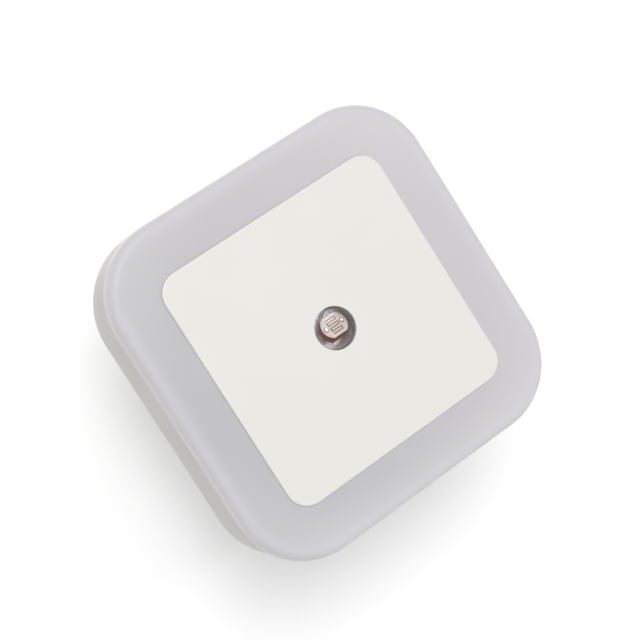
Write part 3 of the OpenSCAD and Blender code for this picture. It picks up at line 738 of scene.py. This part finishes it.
# %% Pins, sleeves, screws
def turned_rings(material, size_mm, depth_mm):
    """Fine rings round a piece that was turned about the Y axis."""
    nodes, links = material.node_tree.nodes, material.node_tree.links
    place, squeeze = nodes.new("ShaderNodeTexCoord"), nodes.new("ShaderNodeMapping")
    squeeze.inputs["Scale"].default_value = (0.01, 1, 0.01)
    cloud, bump = nodes.new("ShaderNodeTexNoise"), nodes.new("ShaderNodeBump")
    cloud.inputs["Scale"].default_value = 1 / (size_mm * MM)
    bump.inputs["Distance"].default_value = depth_mm * MM
    links.new(place.outputs["Object"], squeeze.inputs["Vector"])
    links.new(squeeze.outputs["Vector"], cloud.inputs["Vector"])
    links.new(cloud.outputs["Fac"], bump.inputs["Height"])
    links.new(bump.outputs["Normal"], nodes["Principled BSDF"].inputs["Normal"])


nickel = finish("Nickel plate", (0.61, 0.59, 0.55), 0.2, 1.0)
drift_colour(nickel, (0.53, 0.51, 0.47), 1.5)
drift_gloss(nickel, 0.14, 0.28, 1.2)
turned_rings(nickel, 0.12, 0.002)
wear(nickel, *pins)

black = finish("Black sleeve plastic", (0.022, 0.022, 0.024), 0.42)
drift_colour(black, (0.034, 0.034, 0.036), 2)
raise_grain(black, 0.15, 0.004)
wear(black, *sleeves)

zinc = finish("Zinc-plated steel", (0.60, 0.61, 0.63), 0.32, 1.0)
drift_colour(zinc, (0.52, 0.53, 0.56), 0.8)
drift_gloss(zinc, 0.25, 0.42, 0.5)
wear(zinc, case_screws)

# %% [markdown]
# ## Inside the head
#
# Nothing in here shows once the head is shut, but a model of a real product is also looked
# at open. These nodes keep their CAD shapes, and each gets the finish of the real part.

# %% Board and board parts
board = finish("Green lacquered board", (0.03, 0.16, 0.07), 0.28)
drift_colour(board, (0.045, 0.21, 0.09), 5)
raise_grain(board, 0.6, 0.006)
wear(board, "circuit_board")

package = finish("White moulded package", (0.82, 0.82, 0.80), 0.35)
drift_colour(package, (0.76, 0.76, 0.74), 1)
wear(package, "led_packages")

phosphor = finish("Phosphor gel", (0.85, 0.62, 0.06), 0.3)
drift_colour(phosphor, (0.90, 0.70, 0.12), 0.6)
shader = phosphor.node_tree.nodes["Principled BSDF"]
shader.inputs["Subsurface Weight"].default_value = 0.2
shader.inputs["Subsurface Scale"].default_value = 0.5 * MM
wear(phosphor, "led_phosphors")

COATS = [  # name, node, two colours, roughness, size of the drift in mm
    ("Black shrink sleeve", "smoothing_capacitor",
     (0.012, 0.012, 0.016), (0.03, 0.03, 0.04), 0.2, 3),
    ("Amber moulded box", "dropper_capacitor", (0.36, 0.16, 0.02), (0.44, 0.21, 0.03), 0.25, 4),
    ("Black epoxy", "diodes", (0.012, 0.012, 0.012), (0.025, 0.025, 0.025), 0.4, 1),
    ("Black epoxy case", "transistor", (0.012, 0.012, 0.012), (0.022, 0.022, 0.022), 0.5, 1),
    ("Pale blue resistor lacquer", "resistors",
     (0.18, 0.36, 0.52), (0.22, 0.42, 0.58), 0.25, 1),
    ("Grey-green flameproof lacquer", "fuse_resistor",
     (0.16, 0.26, 0.17), (0.21, 0.32, 0.21), 0.6, 1)]
for name, node, dark, light, rough, size in COATS:
    coat = finish(name, dark, rough)
    drift_colour(coat, light, size)
    raise_grain(coat, size * 0.3, 0.006)
    wear(coat, node)

brass = finish("Sheet brass", (0.72, 0.53, 0.20), 0.3, 1.0)
drift_colour(brass, (0.62, 0.43, 0.15), 2)
drift_gloss(brass, 0.22, 0.42, 0.8)
wear(brass, "contact_strips")

# %% [markdown]
# ## Wall and light
#
# A plug-in light belongs on a wall, so the stage is a pale wall just behind the pins' tips.
# The wall takes a little extra brightness in the camera's own rays, so that it is white where
# nothing shades it and still shows the shadow. Seen from behind it is clear, and it stops no
# light, so that the plug can be looked at.
#
# A sky of even light fills the shadows. Two wide soft suns stand in front of the light and
# above it, one on either side, and make the head's shadow fall down the wall. A narrow sun
# makes the glint in the window. A low one from behind lights the back, and another comes up
# along the wall and lifts the head's lower side.

# %% The wall
def light_path(nodes, links):
    """1 for rays that should see the white backdrop: camera, glossy and transmission rays."""
    path = nodes.new("ShaderNodeLightPath")
    either, any_of = nodes.new("ShaderNodeMath"), nodes.new("ShaderNodeMath")
    for math_node in (either, any_of):
        math_node.operation = "MAXIMUM"
    links.new(path.outputs["Is Camera Ray"], either.inputs[0])
    links.new(path.outputs["Is Glossy Ray"], either.inputs[1])
    links.new(either.outputs[0], any_of.inputs[0])
    links.new(path.outputs["Is Transmission Ray"], any_of.inputs[1])
    return any_of.outputs[0]


WALL_Y, WALL_HALF = 0.0195, 1.5
panel = bmesh.new()
upright = Matrix.Translation((0, WALL_Y, 0)) @ Matrix.Rotation(math.radians(90), 4, "X")
bmesh.ops.create_grid(panel, x_segments=1, y_segments=1, size=WALL_HALF, matrix=upright)
wall_mesh = bpy.data.meshes.new("wall")
panel.to_mesh(wall_mesh)
panel.free()
wall = bpy.data.objects.new("wall", wall_mesh)
bpy.context.scene.collection.objects.link(wall)
wall.visible_shadow = False

WALL_COLOUR, WALL_SEEN, WALL_GLOW = 0.55, 0.99, 0.085
paint = bpy.data.materials.new("Pale wall paint")
paint.use_nodes = True
nodes, links = paint.node_tree.nodes, paint.node_tree.links
nodes.remove(nodes["Principled BSDF"])
matte, glow = nodes.new("ShaderNodeBsdfDiffuse"), nodes.new("ShaderNodeEmission")
lift, clear_back = nodes.new("ShaderNodeMath"), nodes.new("ShaderNodeBsdfTransparent")
lift.operation = "MULTIPLY"
lift.inputs[1].default_value = WALL_GLOW
shade = nodes.new("ShaderNodeMapRange")
shade.inputs["To Min"].default_value = WALL_COLOUR
shade.inputs["To Max"].default_value = WALL_SEEN
both, sides = nodes.new("ShaderNodeAddShader"), nodes.new("ShaderNodeMixShader")
facing = nodes.new("ShaderNodeNewGeometry")
seen = light_path(nodes, links)
links.new(seen, lift.inputs[0])
links.new(seen, shade.inputs["Value"])
links.new(shade.outputs["Result"], matte.inputs["Color"])
links.new(lift.outputs[0], glow.inputs["Strength"])
links.new(matte.outputs[0], both.inputs[0])
links.new(glow.outputs[0], both.inputs[1])
links.new(facing.outputs["Backfacing"], sides.inputs["Fac"])
links.new(both.outputs[0], sides.inputs[1])
links.new(clear_back.outputs[0], sides.inputs[2])
links.new(sides.outputs[0], nodes["Material Output"].inputs["Surface"])
wall_mesh.materials.append(paint)
print("wall faces", wall_mesh.polygons[0].normal)

# %% Sky and lamps
world = bpy.data.worlds.new("Studio")
bpy.context.scene.world = world
world.use_nodes = True
nodes, links = world.node_tree.nodes, world.node_tree.links
SKY_LIGHT, SKY_SEEN = 0.43, 1.0
level = nodes.new("ShaderNodeMapRange")
level.inputs["To Min"].default_value = SKY_LIGHT
level.inputs["To Max"].default_value = SKY_SEEN
links.new(light_path(nodes, links), level.inputs["Value"])
links.new(level.outputs["Result"], nodes["Background"].inputs["Strength"])
nodes["Background"].inputs["Color"].default_value = (1, 1, 1, 1)


def sun(name, towards, strength, width):
    """A sun whose light comes from a direction, with a soft edge of a width in degrees."""
    lamp = bpy.data.lights.new(name, "SUN")
    lamp.energy = strength
    lamp.angle = math.radians(width)
    holder = bpy.data.objects.new(name, lamp)
    holder.rotation_euler = Vector(towards).to_track_quat("Z", "Y").to_euler()
    bpy.context.scene.collection.objects.link(holder)


sun("Key from the front", (-0.14, -1, 0.3), 1.135, 28)
sun("Fill from above", (0.1, -1, 0.45), 0.5, 28)
sun("Glint in the window", (0.318, -0.948, -0.03), 0.13, 4.2)
sun("Low light from behind", (0.5, 0.8, 0.5), 0.9, 40)
sun("Low fill from the lower right", (0.4, -0.12, -0.9), 0.6, 60)

# %% [markdown]
# ## Camera
#
# The camera stands 28 cm in front of the ring, 18 degrees to the left of the light's axis and
# 6 degrees above it, and is rolled 32 degrees, so the light looks turned. Its place is given
# from the middle of the ring face along its own right, up and back directions.

# %% Camera
AZIMUTH, ELEVATION, ROLL = math.radians(-17.84), math.radians(5.58), math.radians(-32.33)
TO_RIGHT, TO_UP, AWAY = -2.575, 1.408, 278.7
back = Vector((math.sin(AZIMUTH) * math.cos(ELEVATION), -math.cos(AZIMUTH) * math.cos(ELEVATION),
               math.sin(ELEVATION)))
level_right = Vector((math.cos(AZIMUTH), math.sin(AZIMUTH), 0))
right = Matrix.Rotation(ROLL, 3, back) @ level_right
up = back.cross(right)
camera_data = bpy.data.cameras.new("Camera")
camera_data.lens = 91.4
camera_data.sensor_width = 36
camera = bpy.data.objects.new("Camera", camera_data)
spot = Vector((0, -RING_FACE, 0)) + TO_RIGHT * right + TO_UP * up + AWAY * back
axes = Matrix((right, up, back)).transposed().to_4x4()
camera.matrix_world = Matrix.Translation(spot * MM) @ axes
camera_data.clip_start, camera_data.clip_end = 0.01, 10
bpy.context.scene.collection.objects.link(camera)
bpy.context.scene.camera = camera
print("camera at", [round(c, 4) for c in camera.matrix_world.translation])

# %% The view transform, and the end
bpy.context.scene.view_settings.view_transform = "Standard"
